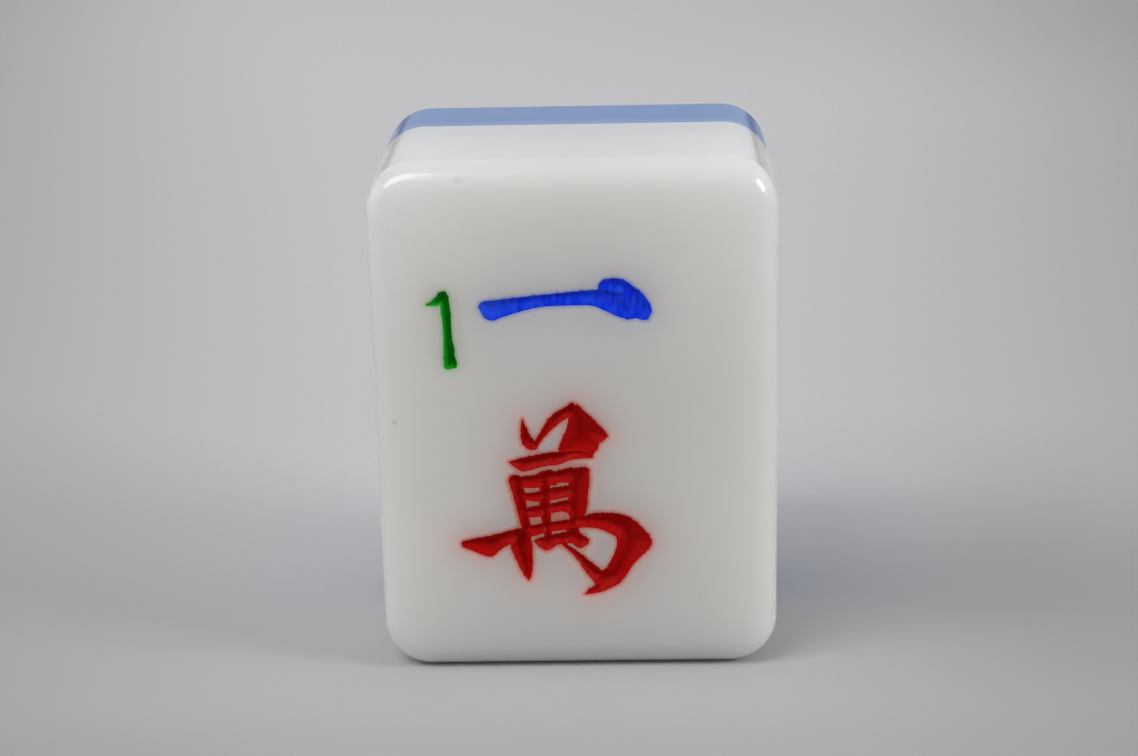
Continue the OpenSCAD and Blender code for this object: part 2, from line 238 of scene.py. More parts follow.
# The cuts of each painted mark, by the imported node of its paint
MARKS = {
    "digit_paint": [
        Cut(DIGIT_FLAG, 1.4, (0, 0.2), 0.8),
        Cut(DIGIT_STEM, 1.6, (0.4, 0), 0.8),
    ],
    "stroke_paint": [
        Cut(STROKE_BAR, 0.5, (0, 0.3), 0.24, False),
        Cut(STROKE_HEAD, 0.5, (0.2, 0.2), 0.28, False),
    ],
    "character_top_paint": [
        Cut(TOP_HOOK, 1.0, (0.2, 0.2), 0.7),
        Cut(TOP_RISE, 1.0, (0, 0.3), 0.7),
        Cut(TOP_ROOF, 0.7, (0, 0), 0.8, False),
        Cut(TOP_COVER, 1.1, (0, 0.2), 0.7, False),
    ],
    "character_base_paint": [
        Cut(LEFT_POST, 1.1, (0.1, 0), 0.6),
        Cut(MIDDLE_POST, 1.1, (0, 0), 0.6),
        Cut(RIGHT_POST, 0.9, (-0.2, 0), 0.6),
        Cut(TOP_RAIL, 1.0, (0, 0.3), 0.6),
        Cut(MIDDLE_RAIL, 0.95, (0, 0.2), 0.5),
        Cut(LOW_RAIL, 0.95, (0, 0.2), 0.5),
        Cut(SWEEP, 1.0, (0, 0.4), 0.8),
        Cut(HOOK, 0.8, (0, 0), 0.8),
        Cut(SLANT, 1.1, (0.1, 0.1), 0.6),
        Cut(DAGGER, 1.1, (0.1, 0), 0.8),
        Cut(FOOT_BAR, 1.0, (0, 0.2), 0.6),
        Cut(DOT, 1.0, (0.1, 0.1), 0.6),
    ],
}

# Places painted paler: right and up on the front, and radius, in mm. On the red they are painted glints;
# on the blue, a paler left part and a painted highlight on the ridge between the bar and the head
RED_GLINTS = [(0.54, 19.52, 0.16), (1.18, 17.92, 0.16), (0.03, 20.97, 0.16), (-0.17, 14.07, 0.16)]
BLUE_PALE_SPOTS = [(-6.2, 29.1, 2.4), (3.4, 30.15, 0.45)]

# Straight pieces that each smooth span of an outline is measured along
SPAN_STEPS = 12
# Ups and downs per mm of a rim's slow wander, of its nicks, and of the ripples along and across a cut
WANDER = 2.3
NICKS = 7.3
RIPPLES_ALONG = 5.5
RIPPLES_ACROSS = 0.9
# How much steeper a cut's wall is where the cut opens into another
OPEN_END = 3
# Distance from the paint, in mm, over which the painted glow of its colour in the resin fades
GLOW_FADE = 0.8
# Ledges round the cuts where the front has extra points, in lip roundings
LEDGES = (0.5, 1, 1.8)

# The paper sweep, in metres: how far it is flat, and the radius of its turned-up edge; and its faces
PAPER_FLAT = 1.2
PAPER_BEND = 0.1
FLAT_RINGS = 6
BEND_RINGS = 16
PAPER_TURNS = 96

# The camera: place in metres, turns in radians, focal length and width of the sensor in mm
CAMERA_PLACE = (0.004596, -0.177689, 0.078527)
CAMERA_TURN = 0.03
CAMERA_TILT = 0.31891
CAMERA_ROLL = -0.02323
FOCAL_LENGTH = 75.7
SENSOR_WIDTH = 36


# ---- Sizes and colours that a user would change ----


class TileForm(bpy.types.PropertyGroup):
    """Roundings of the tile's two layers."""

    corner_radius: FloatProperty(
        name="Corner radius",
        description="Radius of the four corners, seen from the front",
        default=3.6 * MM,
        unit="LENGTH",
    )
    edge_radius: FloatProperty(
        name="Edge radius",
        description="Rounding of the edges round the front and round the back",
        default=2.0 * MM,
        unit="LENGTH",
    )
    corner_steps: IntProperty(name="Corner steps", description="Faces round each corner", default=28, min=4)
    edge_steps: IntProperty(name="Edge steps", description="Faces across each edge", default=16, min=3)


class CarvingForm(bpy.types.PropertyGroup):
    """How finely the cuts are modelled, and how rough the cutter left them."""

    cut_spacing: FloatProperty(
        name="Spacing in the cuts",
        description="Distance between the points of the cuts",
        default=0.07 * MM,
        unit="LENGTH",
        precision=5,
    )
    face_spacing: FloatProperty(
        name="Spacing on the face",
        description="Distance between the points of the plain part of the front",
        default=0.4 * MM,
        unit="LENGTH",
        precision=5,
    )
    lip_round: FloatProperty(
        name="Lip rounding",
        description="How far polishing has rounded the rims of the cuts",
        default=0.06 * MM,
        unit="LENGTH",
        precision=5,
    )
    ragged: FloatProperty(
        name="Ragged rims",
        description="How far the rims wander from a clean line",
        default=0.06 * MM,
        unit="LENGTH",
        precision=5,
    )
    chatter: FloatProperty(
        name="Chatter",
        description="Depth of the ripples that the cutter left across its path",
        default=0.02 * MM,
        unit="LENGTH",
        precision=5,
    )
    film: FloatProperty(
        name="Paint film",
        description="Thickness of the paint on the walls of the cuts",
        default=0.03 * MM,
        unit="LENGTH",
        precision=5,
    )


class TileFinish(bpy.types.PropertyGroup):
    """Colours of the two resins and the three paints."""

    white: FloatVectorProperty(
        name="White resin",
        description="Colour of the front block",
        subtype="COLOR",
        default=RECORD_COLOURS["white_plastic"],
    )
    blue: FloatVectorProperty(
        name="Blue resin",
        description="Colour of the back layer",
        subtype="COLOR",
        default=RECORD_COLOURS["blue_plastic"],
    )
    green_paint: FloatVectorProperty(
        name="Green paint",
        description="Paint in the digit",
        subtype="COLOR",
        default=RECORD_COLOURS["green_paint"],
    )
    blue_paint: FloatVectorProperty(
        name="Blue paint",
        description="Paint in the single wide stroke",
        subtype="COLOR",
        default=RECORD_COLOURS["blue_paint"],
    )
    red_paint: FloatVectorProperty(
        name="Red paint",
        description="Paint in the large character",
        subtype="COLOR",
        default=RECORD_COLOURS["red_paint"],
    )
    depth_of_light: FloatProperty(
        name="Depth of light",
        description="How far light travels in the white resin before it scatters",
        default=9.0 * MM,
        unit="LENGTH",
        precision=5,
    )


class StudioForm(bpy.types.PropertyGroup):
    """Light and floor of the small studio round the tile."""

    overhead_power: FloatProperty(name="Overhead", description="Softbox above", default=0.21, unit="POWER")
    back_power: FloatProperty(name="Back", description="Softbox behind", default=0.88, unit="POWER")
    key_power: FloatProperty(name="Key", description="Softbox in front, up left", default=1.65, unit="POWER")
    left_power: FloatProperty(name="Left", description="Softbox at the left", default=0.3, unit="POWER")
    right_power: FloatProperty(name="Right", description="Softbox at the right", default=0.8, unit="POWER")
    glint_power: FloatProperty(name="Glint", description="Softbox, front right", default=0.65, unit="POWER")
    room_level: FloatProperty(name="Room", description="Level of the even light of the room", default=0.18)
    floor_colour: FloatVectorProperty(
        name="Floor", description="Colour of the paper sweep", subtype="COLOR", default=(0.665, 0.66, 0.665)
    )


# ---- Outlines and depths of the cuts ----


def span_point(a, b, c, d, share):
    """Point at that share of the way from b to c, on the smooth line through a, b, c and d."""
    return (
        b
        + (c - a) * share / 2
        + (a * 2 - b * 5 + c * 4 - d) * share**2 / 2
        + (b * 3 - a - c * 3 + d) * share**3 / 2
    )


def run_line(run, spacing):
    """Evenly spaced points along a run, from its first point up to just before its last."""
    points = np.array(run, float)
    if len(points) > 2:
        ends = np.vstack([2 * points[0] - points[1], points, 2 * points[-1] - points[-2]])
        shares = np.linspace(0, 1, SPAN_STEPS, endpoint=False)[:, None]
        spans = [span_point(*ends[i : i + 4], shares) for i in range(len(points) - 1)]
        points = np.vstack([*spans, points[-1]])
    lengths = np.concatenate([[0], np.cumsum(np.linalg.norm(np.diff(points, axis=0), axis=1))])
    count = max(1, round(lengths[-1] / spacing))
    at = np.linspace(0, lengths[-1], count, endpoint=False)
    return np.stack([np.interp(at, lengths, points[:, k]) for k in (0, 1)], axis=1)


def outward_normals(line):
    """Unit normals of a closed clockwise line's straight pieces, pointing out of it."""
    along = np.roll(line, -1, axis=0) - line
    along /= np.linalg.norm(along, axis=1)[:, None]
    return np.stack([-along[:, 1], along[:, 0]], axis=1)


def ragged_line(line, ragged):
    """The line with its points moved in and out by a little, as a cutter leaves a rim. Rims above a cut
    are rougher than the others."""
    normals = outward_normals(line)
    normals = normals + np.roll(normals, 1, axis=0)
    normals /= np.maximum(np.linalg.norm(normals, axis=1)[:, None], 0.2)
    moved = []
    for (x, z), (nx, nz) in zip(line, normals):
        roughness = ragged * (0.25 + 0.75 * min(1, max(0, nz) + 0.5 * abs(nx)))
        wander = 0.3 * noise.noise(Vector((x * WANDER, z * WANDER, 4.7)))
        nick = max(0, noise.noise(Vector((x * NICKS, z * NICKS, 1.3))) - 0.05) * 2.6
        moved.append((x + nx * roughness * (wander + nick), z + nz * roughness * (wander + nick)))
    return np.array(moved)


def is_inside(points, line):
    """Which of the points lie inside the closed line."""
    start, end = line, np.roll(line, -1, axis=0)
    x, z = points[:, 0:1], points[:, 1:2]
    crosses = (start[:, 1] > z) != (end[:, 1] > z)
    rise = np.where(end[:, 1] == start[:, 1], 1, end[:, 1] - start[:, 1])
    at = start[:, 0] + (z - start[:, 1]) / rise * (end[:, 0] - start[:, 0])
    return (crosses & (x < at)).sum(axis=1) % 2 == 1


def distances(points, line):
    """Distance from each point to each straight piece of the closed line."""
    start = line
    along = np.roll(line, -1, axis=0) - line
    length = (along**2).sum(axis=1)
    offset = points[:, None, :] - start[None, :, :]
    share = np.clip((offset * along).sum(axis=2) / length, 0, 1)
    return np.linalg.norm(offset - share[:, :, None] * along, axis=2)


class Pass:
    """One cut at its place on the tile."""

    def __init__(self, cut, place, scale, spacing, ragged):
        drawn = np.vstack([run_line(run, spacing) for run in cut.outline])
        self.cut = cut
        self.line = ragged_line(drawn * scale + place, ragged)
        self.low = self.line.min(axis=0)
        self.high = self.line.max(axis=0)
        self.normals = outward_normals(self.line)
        self.steepness = cut.slope * (1 + self.normals @ np.array(cut.lean))
        spread = self.line - self.line.mean(axis=0)
        self.direction = np.linalg.svd(spread, full_matrices=False)[2][0]

    def holds(self, points):
        """Which of the points lie inside the cut."""
        found = np.zeros(len(points), bool)
        near = np.all((points > self.low) & (points < self.high), axis=1)
        found[near] = is_inside(points[near], self.line)
        return found

    def hide_ends(self, others):
        """Makes the walls that lie in another cut of the mark steep, so that this cut opens into it."""
        if not self.cut.opens:
            return
        middles = (self.line + np.roll(self.line, -1, axis=0)) / 2 + self.normals * 0.02
        for other in others:
            self.steepness = np.where(other.holds(middles), self.cut.slope * OPEN_END, self.steepness)

    def depths(self, points, chatter):
        """Depth of the cut below the front at each point, which is 0 outside it."""
        depth = np.zeros(len(points))
        inside = self.holds(points)
        if not inside.any():
            return depth
        held = points[inside]
        walls = (distances(held, self.line) * self.steepness).min(axis=1)
        sunk = walls / (1 + (walls / self.cut.deepest) ** 5) ** 0.2
        along = held @ self.direction
        across = held @ np.array([-self.direction[1], self.direction[0]])
        ripple = [
            noise.noise(Vector((a * RIPPLES_ALONG, b * RIPPLES_ACROSS, 7.1))) for a, b in zip(along, across)
        ]
        # The ripples fade out in the shallowest part of the cut
        depth[inside] = np.maximum(sunk + chatter * np.array(ripple) * np.minimum(1, sunk / 0.15), 0)
        return depth


def mark_place(node, cuts):
    """Place and scale, in mm, that bring a mark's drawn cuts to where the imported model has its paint."""
    low, high = (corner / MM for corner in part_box(node))
    drawn = np.vstack([run_line(run, 0.02) for cut in cuts for run in cut.outline])
    scale = (high.x - low.x) / np.ptp(drawn[:, 0])
    return np.array([low.x, low.z]) - drawn.min(axis=0) * scale, scale


def hex_points(low, high, spacing):
    """Points of a honeycomb grid between two corners."""
    rows = np.arange(low[1], high[1], spacing * math.sqrt(3) / 2)
    columns = np.arange(low[0], high[0], spacing)
    x, z = np.meshgrid(columns, rows)
    x = x + (np.arange(len(rows)) % 2)[:, None] * spacing / 2
    return np.stack([x.ravel(), z.ravel()], axis=1)


def tile_loop(inset, corner_radius, steps):
    """Points round the tile, anticlockwise from the right side's lower end, drawn in by inset. In mm."""
    radius = corner_radius - inset
    reach_x = HALF_WIDTH - corner_radius
    reach_z = HEIGHT / 2 - corner_radius
    loop = []
    for quarter, (side_x, side_z) in enumerate(((1, 1), (-1, 1), (-1, -1), (1, -1))):
        for step in range(steps + 1):
            angle = math.radians(90) * (quarter + step / steps)
            x = side_x * reach_x + radius * math.cos(angle)
            z = HEIGHT / 2 + side_z * reach_z + radius * math.sin(angle)
            loop.append((x, z))
    return np.array(loop)


Carving = namedtuple("Carving", "points depths triangles rim painted nearness")


@lru_cache(maxsize=None)
def carve_front(corner_radius, edge_radius, corner_steps, cut_spacing, face_spacing, lip, ragged, chatter):
    """The flat of the front with all its cuts, as points, depths below the front and triangles. In mm."""
    rim = tile_loop(edge_radius, corner_radius, corner_steps)
    passes = {}
    for node, cuts in MARKS.items():
        place, scale = mark_place(node, cuts)
        passes[node] = [Pass(cut, place, scale, cut_spacing, ragged) for cut in cuts]
        for one in passes[node]:
            one.hide_ends([other for other in passes[node] if other is not one])
    every = [one for group in passes.values() for one in group]

    # Free points: fine in and round the cuts, wide on the plain part of the front
    line_points = np.vstack([one.line for one in every])
    fine = hex_points(line_points.min(axis=0) - 0.2, line_points.max(axis=0) + 0.2, cut_spacing)
    in_cuts = np.any([one.holds(fine) for one in every], axis=0)
    fine = fine[in_cuts & (nearest(fine, line_points) > cut_spacing * 0.45)]
    ledge = np.vstack([one.line + one.normals * lip * share for one in every for share in LEDGES])
    outside = ~np.any([one.holds(ledge) for one in every], axis=0)
    ledge = ledge[outside]
    ledge = ledge[nearest(ledge, line_points) > lip * 0.4]
    wide = hex_points(rim.min(axis=0), rim.max(axis=0), face_spacing)
    clear = tile_loop(edge_radius + face_spacing * 0.3, corner_radius, corner_steps)
    keep = is_inside(wide, clear) & ~np.any([one.holds(wide) for one in every], axis=0)
    wide = wide[keep]
    wide = wide[nearest(wide, line_points) > lip * 2.5]

    points = [rim]
    edges = loop_edges(0, len(rim))
    count = len(rim)
    for one in every:
        points.append(one.line)
        edges += loop_edges(count, len(one.line))
        count += len(one.line)
    points += [fine, ledge, wide]
    flat = [Vector(p) for p in np.vstack(points)]
    found, _, triangles, sources, _, _ = delaunay_2d_cdt(flat, edges, [], 0, 1e-5)

    points = np.array([tuple(p) for p in found])
    triangles = np.array(triangles)
    rim_at = {source: i for i, group in enumerate(sources) for source in group if source < len(rim)}
    rim_points = [rim_at[i] for i in range(len(rim))]

    depths = np.max([one.depths(points, chatter) for one in every], axis=0)
    away = nearest(points, line_points)
    inside = np.any([one.holds(points) for one in every], axis=0)
    rounding = np.where(inside, 1, np.clip(1 - away / (lip * 1.6), 0, 1) ** 2)
    depths = depths + lip * 0.5 * rounding
    middles = points[triangles].mean(axis=1)
    painted = {node: np.any([one.holds(middles) for one in group], axis=0) for node, group in passes.items()}
    nearness = {
        node: np.where(
            np.any([one.holds(points) for one in group], axis=0),
            1,
            np.exp(-nearest(points, np.vstack([one.line for one in group])) / GLOW_FADE),
        )
        for node, group in passes.items()
    }
    return Carving(points, depths, triangles, rim_points, painted, nearness)


def nearest(points, others):
    """Distance from each point to the nearest of the others."""
    tree = KDTree(len(others))
    for i, (x, z) in enumerate(others):
        tree.insert((x, z, 0), i)
    tree.balance()
    return np.array([tree.find((x, z, 0))[2] for x, z in points])


def loop_edges(first, count):
    """Edges of a closed loop of points."""
    return [(first + i, first + (i + 1) % count) for i in range(count)]


def carving():
    """The carved front at the sizes that the scene has."""
    tile = bpy.context.scene.tile_form
    cut = bpy.context.scene.carving_form
    return carve_front(
        tile.corner_radius / MM,
        tile.edge_radius / MM,
        tile.corner_steps,
        cut.cut_spacing / MM,
        cut.face_spacing / MM,
        cut.lip_round / MM,
        cut.ragged / MM,
        cut.chatter / MM,
    )


# ---- Meshes ----


def new_piece(name, points, faces, finish, replaced):
    """A smooth mesh piece of the tile from points in mm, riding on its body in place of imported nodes."""
    mesh = bpy.data.meshes.new(name)
    faces = [tuple(int(i) for i in f) for f in faces]
    mesh.from_pydata([tuple(p) for p in np.asarray(points) * MM], [], faces)
    mesh.validate()
    mesh.shade_smooth()
    mesh.set_sharp_from_angle(angle=math.radians(40))
    mesh.materials.append(finish)
    piece = bpy.data.objects.new(name, mesh)
    bpy.context.scene.collection.objects.link(piece)
    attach(piece, BODY)
    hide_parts(replaced)
    return piece


def edge_rings(edge_y, seam_y, tile):
    """Rings of points round one layer, from the rim of its flat over the rounded edge to the seam. In mm."""
    corner, edge = tile.corner_radius / MM, tile.edge_radius / MM
    inward = math.copysign(1, seam_y - edge_y)
    rings = []
    for step in range(tile.edge_steps + 1):
        turn = math.radians(90) * step / tile.edge_steps
        rings.append((edge * (1 - math.sin(turn)), edge_y + inward * edge * (1 - math.cos(turn))))
    rings.append((0, edge_y + inward * (edge + 0.3)))
    rings.append((0, seam_y - inward * 0.3))
    rings.append((0, seam_y))
    return [
        np.array([(x, y, z) for x, z in tile_loop(inset, corner, tile.corner_steps)]) for inset, y in rings
    ]


def ring_faces(lower, upper):
    """Four-sided faces between two rings, given as lists of point numbers."""
    count = len(lower)
    return [(lower[i], lower[(i + 1) % count], upper[(i + 1) % count], upper[i]) for i in range(count)]


def number_rings(rings, first):
    """The rings' points in one array, and their numbers when they follow on from the first one."""
    numbers = [list(range(first + i * len(r), first + (i + 1) * len(r))) for i, r in enumerate(rings)]
    return np.vstack(rings), numbers


# ---- Finishes ----


class FinishTree:
    """The node tree of one finish, made of the few kinds of node that the finishes here need."""

    def __init__(self, name):
        self.material = bpy.data.materials.new(name)
        self.material.use_nodes = True
        self.nodes = self.material.node_tree.nodes
        self.shader = self.nodes["Principled BSDF"]
        self.place = self.nodes.new("ShaderNodeTexCoord").outputs["Object"]

    def join(self, source, target):
        self.material.node_tree.links.new(source, target)

    def set(self, **values):
        """Constant settings of the shader, by the names of its sockets with _ for a space."""
        for name, value in values.items():
            self.shader.inputs[name.replace("_", " ")].default_value = value

    def grain(self, size, detail=3, stretch=(1, 1, 1)):
        """Soft noise with patches of about that size, in metres."""
        spread = self.nodes.new("ShaderNodeMapping")
        spread.inputs["Scale"].default_value = stretch
        self.join(self.place, spread.inputs["Vector"])
        texture = self.nodes.new("ShaderNodeTexNoise")
        texture.inputs["Scale"].default_value = 1 / size
        texture.inputs["Detail"].default_value = detail
        self.join(spread.outputs["Vector"], texture.inputs["Vector"])
        return texture.outputs["Fac"]

    def ramp(self, value, low, high, at_low, at_high):
        """The value's way from low to high as a way from at_low to at_high."""
        node = self.nodes.new("ShaderNodeMapRange")
        node.interpolation_type = "SMOOTHSTEP"
        self.join(value, node.inputs["Value"])
        for name, number in (("From Min", low), ("From Max", high), ("To Min", at_low), ("To Max", at_high)):
            node.inputs[name].default_value = number
        return node.outputs["Result"]

    def times(self, first, second):
        """Two values multiplied; the second may be a number."""
        node = self.nodes.new("ShaderNodeMath")
        node.operation = "MULTIPLY"
        self.join(first, node.inputs[0])
        if isinstance(second, (int, float)):
            node.inputs[1].default_value = second
        else:
            self.join(second, node.inputs[1])
        return node.outputs["Value"]

    def tint(self, share, base, other):
        """Colour that goes from base to other by that share."""
        node = self.nodes.new("ShaderNodeMix")
        node.data_type = "RGBA"
        self.join(share, node.inputs["Factor"])
        for socket, colour in ((node.inputs["A"], base), (node.inputs["B"], other)):
            if isinstance(colour, bpy.types.NodeSocket):
                self.join(colour, socket)
            else:
                socket.default_value = (*colour, 1)
        return node.outputs["Result"]

    def side(self, axis):
        """The place along one axis, in metres."""
        node = self.nodes.new("ShaderNodeSeparateXYZ")
        self.join(self.place, node.inputs["Vector"])
        return node.outputs[axis]

    def vector_math(self, operation, source, constant):
        """Results of a vector operation on a source and a constant."""
        node = self.nodes.new("ShaderNodeVectorMath")
        node.operation = operation
        self.join(source, node.inputs[0])
        node.inputs[1].default_value = constant
        return node.outputs

    def way(self, start, direction):
        """How far the place lies from a point in mm along a direction, in metres."""
        offset = self.vector_math("SUBTRACT", self.place, Vector(start) * MM)["Vector"]
        return self.vector_math("DOT_PRODUCT", offset, direction)["Value"]

    def spot(self, at, radius, place=None):
        """1 at a point in mm, falling softly to 0 at the radius in mm."""
        distance = self.vector_math("DISTANCE", place or self.place, Vector(at) * MM)["Value"]
        return self.ramp(distance, 0, radius * MM, 1, 0)

    def speck(self, at, radius):
        """1 at a place [right, up] in mm on the front, falling softly to 0 at the radius, at any depth."""
        flat = self.vector_math("MULTIPLY", self.place, (1, 0, 1))["Vector"]
        return self.spot((at[0], 0, at[1]), radius, flat)

    def layer(self, name):
        """A value stored with the mesh's points."""
        node = self.nodes.new("ShaderNodeAttribute")
        node.attribute_name = name
        return node.outputs["Fac"]

    def bump(self, height, depth):
        """Surface relief from a height, with that depth in metres."""
        node = self.nodes.new("ShaderNodeBump")
        node.inputs["Strength"].default_value = 1
        node.inputs["Distance"].default_value = depth
        self.join(height, node.inputs["Height"])
        return node.outputs["Normal"]

    def surface(self, colour, patches, roughness, bumps, depth):
        """Colour, a roughness that varies between two values, and a fine relief. Patches and bumps are the
        size and the detail of the noise that each of the last two follows."""
        self.join(colour, self.shader.inputs["Base Color"])
        self.join(self.ramp(self.grain(*patches), 0.3, 0.7, *roughness), self.shader.inputs["Roughness"])
        self.join(self.bump(self.grain(*bumps), depth), self.shader.inputs["Normal"])


def shade(colour, amount):
    """The colour made lighter or darker."""
    return tuple(min(1, c * amount) for c in colour)


def white_resin(finish):
    """Polished ivory resin that light sinks into, faintly clouded, with painted shade in its lower half, at
    its foot and down its middle, and painted glows: of each paint's colour round it, and bluish by the blue
    layer.
    """
    tree = FinishTree("White resin")
    white = tuple(finish.white)
    colour = tree.tint(tree.ramp(tree.grain(0.006), 0.35, 0.65, 0, 1), shade(white, 0.985), white)
    # Painted shade: the resin is made darker in its lower half, darker still at its foot, and down its
    # middle, most towards the bottom, where less light reaches it
    body = tree.ramp(tree.side("Z"), 0.02, 0.036, 0.38, 0)
    colour = tree.tint(body, colour, (0.71, 0.69, 0.65))
    foot = tree.ramp(tree.side("Z"), 0, 0.015, 0.5, 0)
    colour = tree.tint(foot, colour, shade(white, 0.82))
    left_part = tree.ramp(tree.side("X"), -0.013, 0, 0, 1)
    right_part = tree.ramp(tree.side("X"), 0, 0.013, 1, 0)
    low_part = tree.ramp(tree.side("Z"), 0, 0.02, 0.8, 0.3)
    middle = tree.times(tree.times(left_part, right_part), low_part)
    colour = tree.tint(middle, colour, shade(white, 0.82))
    # Painted glow: round each paint the resin is tinted with the paint's colour, for light that has passed
    # under the paint and scattered in the resin. Right at a rim the tint is strong, partly paint feathered
    # over the rim and partly painted glow through it
    nearness_layers = (
        ("near_red", (0.93, 0.60, 0.55), (0.95, 0.23, 0.17)),
        ("near_blue", (0.80, 0.80, 0.86), (0.45, 0.50, 0.90)),
        ("near_green", (0.86, 0.87, 0.78), (0.48, 0.80, 0.43)),
    )
    for name, glow, rim_feather_and_glow in nearness_layers:
        near = tree.layer(name)
        colour = tree.tint(near, colour, glow)
        colour = tree.tint(tree.ramp(near, 0.66, 1, 0, 0.9), colour, rim_feather_and_glow)
    # Painted glow: bluish towards the seam, for the blue layer's light seen through the resin
    seam = tree.ramp(tree.side("Y"), (SEAM_Y - 4.0) * MM, SEAM_Y * MM, 0, 0.3)
    colour = tree.tint(seam, colour, (0.6, 0.68, 0.9))
    depth = tree.ramp(tree.side("Y"), (SEAM_Y - 4.0) * MM, SEAM_Y * MM, finish.depth_of_light, 0.3 * MM)
    shallow = tree.ramp(tree.layer("near_paint"), 0, 1, 1, 0.1)
    tree.join(tree.times(depth, shallow), tree.shader.inputs["Subsurface Scale"])
    # Painted glow: the white between the strokes of the large character's lattice is tinted red, for red
    # light scattered there
    lattice = tree.times(tree.speck((-2.2, 13.3), 6), tree.ramp(tree.layer("near_red"), 0.65, 0.85, 0, 1))
    colour = tree.tint(lattice, colour, (0.74, 0.2, 0.14))
    # Small spots: a brownish speck on the left edge, a grey speck low on the right, and two grey spots on the
    # top left edge
    specks = (
        ((-13.4, -10.96, 20.15), 0.3, (0.66, 0.60, 0.52)),
        ((9.11, -11, 5.97), 0.2, (0.66, 0.65, 0.64)),
        ((-8.15, -10.79, 38.4), 0.5, (0.75, 0.74, 0.73)),
        ((-7.8, -10.78, 38.5), 0.35, (0.76, 0.75, 0.74)),
    )
    for at, radius, speck_colour in specks:
        colour = tree.tint(tree.spot(at, radius), colour, speck_colour)
    tree.surface(colour, (0.0015, 4), (0.10, 0.16), (0.004, 2), 0.00001)
    tree.set(Subsurface_Weight=1, Subsurface_Radius=(1, 0.97, 0.9), IOR=1.55)
    return tree.material


def blue_resin(finish):
    """Polished blue resin, denser than the white, faintly clouded."""
    tree = FinishTree("Blue resin")
    blue = tuple(finish.blue)
    colour = tree.tint(tree.ramp(tree.grain(0.005), 0.35, 0.65, 0, 1), shade(blue, 0.96), shade(blue, 1.01))
    seam = tree.ramp(tree.side("Y"), SEAM_Y * MM, (SEAM_Y + 2) * MM, 0.15, 0)
    colour = tree.tint(seam, colour, tuple(finish.white))
    tree.surface(colour, (0.0015, 4), (0.11, 0.18), (0.004, 2), 0.00001)
    tree.set(
        Subsurface_Weight=0.4,
        Subsurface_Radius=(0.4, 0.6, 1),
        Subsurface_Scale=0.6 * MM,
        IOR=1.55,
    )
    return tree.material


def cut_paint(name, dark, pale, stretch=(1, 1, 1), pale_spots=(), shaded_sides=()):
    """Enamel brushed into the cuts in dark and pale streaks, darker where it has pooled, with a satin shine.
    Stretch draws the streaks out, the pale spots are places painted paler, among them painted glints and a
    painted highlight, and the shaded sides are lines, each a point in mm and a direction, beyond which the
    paint is darkened as painted shade."""
    tree = FinishTree(name)
    streaks = tree.ramp(tree.grain(0.0004, 5, stretch), 0.35, 0.7, 0, 1)
    mixed = tree.tint(streaks, dark, pale)
    mixed = tree.tint(tree.times(tree.layer("pooled"), 0.3), mixed, shade(dark, 0.7))
    # Painted shade: beyond each line the paint is darkened, on the walls that face away from the light
    for start, direction in shaded_sides:
        beyond = tree.ramp(tree.way(start, direction), -0.00006, 0.0001, 0, 0.8)
        mixed = tree.tint(beyond, mixed, shade(dark, 0.5))
    # Painted paler at each place: painted glints and a painted highlight, and paler paint
    for right, up, radius in pale_spots:
        share = tree.times(tree.speck((right, up), radius), 0.6)
        mixed = tree.tint(share, mixed, shade(pale, 1.6))
    tree.surface(mixed, (0.0003, 4), (0.32, 0.5), (0.00022, 4), 0.00003)
    tree.set(IOR=1.5, Specular_IOR_Level=0.05)
    return tree.material


def paper_sweep(studio):
    """Matt pale paper with a fine tooth, a little darker round the tile and out at the sides as painted
    shadow and shade, and paler farther back as painted light."""
    tree = FinishTree("Paper sweep")
    paper = tuple(studio.floor_colour)
    # Painted light: paler farther back
    colour = tree.tint(tree.ramp(tree.side("Y"), 0.03, 0.3, 0, 1), shade(paper, 1.1), shade(paper, 1.32))
    # Painted shade: a little darker near the tile and in front of it
    colour = tree.tint(tree.ramp(tree.side("Y"), -0.01, 0.03, 1, 0), colour, shade(paper, 0.94))
    # Painted light: a paler patch behind the tile on its right, where a lamp throws the tile's shadow
    colour = tree.tint(tree.times(tree.spot((21, 24, 0), 22), 0.7), colour, shade(paper, 1.35))
    # Painted shade: darker along the front
    colour = tree.tint(tree.ramp(tree.side("Y"), -0.026, -0.015, 0.1, 0), colour, shade(paper, 0.1))
    # Painted shadow round the tile and to its right, and painted shade far back on the right
    for at, radius, share in (((0, 0, 0), 34, 0.1), ((36, 0, 0), 30, 0.2), ((90, 290, 0), 120, 0.15)):
        colour = tree.tint(tree.times(tree.spot(at, radius), share), colour, shade(paper, 0.1))
    # Painted shade: darker out at the left and right sides
    for start, inward in (((-59, 49, 0), (0.971, 0.239, 0)), ((53, 45, 0), (-0.98, 0.196, 0))):
        outside = tree.ramp(tree.way(start, inward), -0.045, 0.06, 0.5, 0)
        colour = tree.tint(outside, colour, shade(paper, 0.1))
    tooth = tree.ramp(tree.grain(0.0009, 6), 0.3, 0.7, 0, 0.06)
    colour = tree.tint(tooth, colour, shade(paper, 0.6))
    tree.surface(colour, (0.003, 4), (0.595, 0.605), (0.0006, 5), 0.000008)
    return tree.material


# ---- Operators, one for each piece or group of like pieces ----


